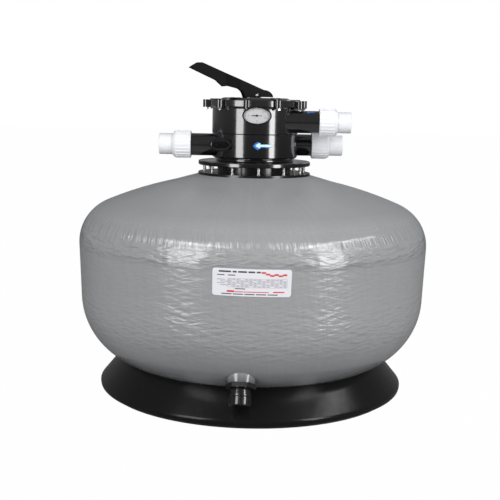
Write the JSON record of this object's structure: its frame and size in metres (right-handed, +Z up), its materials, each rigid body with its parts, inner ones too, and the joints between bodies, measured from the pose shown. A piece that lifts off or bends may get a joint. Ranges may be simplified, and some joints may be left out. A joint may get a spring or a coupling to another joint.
{
  "type": "sand filter tank",
  "caption": "Squat wound-glassfibre pool sand filter on a black ring base, with a top-mounted multiport valve, lever handle, pressure gauge, sight glass and white pipe unions.",
  "frame": {"origin": "on the tank's axis at floor level", "axes": "+Z up along the tank's axis; the drain and gauge face -Y; the waste port points to -X, the pump and return ports to +X"},
  "size_m": [1.1996, 1.1996, 1.1235],
  "materials": {
    "tank_glassfibre": "glossy grey gelcoat over wound glassfibre strands",
    "base_black": "satin moulded plastic",
    "flange_black": "gloss moulded plastic",
    "valve_black": "gloss moulded plastic",
    "handle_black": "matte moulded plastic",
    "rotor_black": "moulded plastic",
    "drain_black": "gloss moulded plastic",
    "gauge_black": "gloss moulded plastic",
    "dial_silver": "satin printed dial",
    "needle_black": "painted black",
    "clear_lens": "clear moulded acrylic",
    "pvc_white": "satin white pvc",
    "union_white": "satin white pvc",
    "washer_white": "acetal",
    "stainless": "bright stainless steel",
    "brass": "machined",
    "rubber_black": "matte rubber"
  },
  "bodies": {
    "filter": {"tank_shell": "tank_glassfibre", "base_skirt": "base_black", "tank_neck": "flange_black", "flange_inserts": "brass", "flange_washers": "stainless", "flange_bolts": "stainless", "neck_seal": "rubber_black", "valve_body_lower": "valve_black", "valve_body_upper": "valve_black", "body_gasket": "rubber_black", "spider_gasket": "rubber_black", "valve_lid": "valve_black", "lid_seal": "rubber_black", "lid_screws": "stainless", "lid_nuts": "stainless", "spring_washer": "stainless", "gauge_case": "gauge_black", "gauge_bezel": "gauge_black", "gauge_dial": "dial_silver", "gauge_lens": "clear_lens", "gauge_stem": "brass", "gauge_movement": "brass", "sight_glass": "clear_lens", "sight_glass_seal": "rubber_black", "standpipe": "pvc_white", "lateral_hub": "pvc_white", "laterals": "pvc_white", "top_diffuser": "pvc_white", "air_relief_tube": "pvc_white", "drain_bulkhead": "drain_black", "drain_gasket": "rubber_black", "drain_nut": "drain_black", "drain_adapter": "drain_black", "drain_screen": "drain_black"},
    "selector": {"thrust_washer": "washer_white"},
    "rotor": {"rotor": "rotor_black", "stem_seals": "rubber_black", "rotor_spring": "stainless"},
    "lever": {"handle": "handle_black", "handle_pin": "stainless"},
    "needle": {"gauge_needle": "needle_black"},
    "drain_seal": {"drain_cap_seal": "rubber_black"},
    "drain_cap": {"drain_cap": "drain_black"},
    "waste_tail": {"waste_union_tail": "pvc_white", "waste_union_seal": "rubber_black"},
    "waste_nut": {"waste_union_nut": "union_white"},
    "pump_tail": {"pump_union_tail": "pvc_white", "pump_union_seal": "rubber_black"},
    "pump_nut": {"pump_union_nut": "union_white"},
    "return_tail": {"return_union_tail": "pvc_white", "return_union_seal": "rubber_black"},
    "return_nut": {"return_union_nut": "union_white"}
  },
  "joints": [
    {"name": "selector_turn", "type": "hinge", "parent": "filter", "child": "selector", "pos_m": [0, 0, 0.9895], "axis": [0, 0, 1], "continuous": true},
    {"name": "rotor_lift", "type": "slide", "parent": "selector", "child": "rotor", "axis": [0, 0, 1], "range_m": [0, 0.0064], "deforming": ["rotor_spring"]},
    {"name": "handle_press", "type": "hinge", "parent": "rotor", "child": "lever", "pos_m": [0, 0, 1.019], "axis": [0.2588, -0.9659, 0], "range_deg": [0, 18], "stiffness_Nm_per_rad": 20, "springref_deg": -17.19},
    {"name": "gauge_needle_turn", "type": "hinge", "parent": "filter", "child": "needle", "pos_m": [0.006, -0.184, 0.951], "axis": [0, 1, 0], "range_deg": [0, 270], "stiffness_Nm_per_rad": 0.00001},
    {"name": "drain_cap_travel", "type": "slide", "parent": "filter", "child": "drain_seal", "axis": [-0.0247, -0.4714, -0.8816], "range_m": [0, 0.009]},
    {"name": "drain_cap_turn", "type": "hinge", "parent": "drain_seal", "child": "drain_cap", "pos_m": [-0.02682, -0.51178, 0.14254], "axis": [0.0247, 0.4714, 0.8816], "range_deg": [0, 1080]},
    {"name": "waste_union_travel", "type": "slide", "parent": "filter", "child": "waste_tail", "axis": [-1, 0, 0], "range_m": [0, 0.015]},
    {"name": "waste_union_turn", "type": "hinge", "parent": "waste_tail", "child": "waste_nut", "pos_m": [-0.246, -0.05, 0.849], "axis": [-1, 0, 0], "range_deg": [0, 1080]},
    {"name": "pump_union_travel", "type": "slide", "parent": "filter", "child": "pump_tail", "axis": [1, 0, 0], "range_m": [0, 0.015]},
    {"name": "pump_union_turn", "type": "hinge", "parent": "pump_tail", "child": "pump_nut", "pos_m": [0.246, -0.065, 0.931], "axis": [1, 0, 0], "range_deg": [0, 1080]},
    {"name": "return_union_travel", "type": "slide", "parent": "filter", "child": "return_tail", "axis": [1, 0, 0], "range_m": [0, 0.015]},
    {"name": "return_union_turn", "type": "hinge", "parent": "return_tail", "child": "return_nut", "pos_m": [0.228, 0.045, 0.849], "axis": [1, 0, 0], "range_deg": [0, 1080]}
  ],
  "couplings": [
    {"joint": "rotor_lift", "follows": "handle_press", "m_per_rad": 0.020351},
    {"joint": "drain_cap_travel", "follows": "drain_cap_turn", "m_per_rad": 0.00047699},
    {"joint": "waste_union_travel", "follows": "waste_union_turn", "m_per_rad": 0.00079498},
    {"joint": "pump_union_travel", "follows": "pump_union_turn", "m_per_rad": 0.00079498},
    {"joint": "return_union_travel", "follows": "return_union_turn", "m_per_rad": 0.00079498}
  ]
}
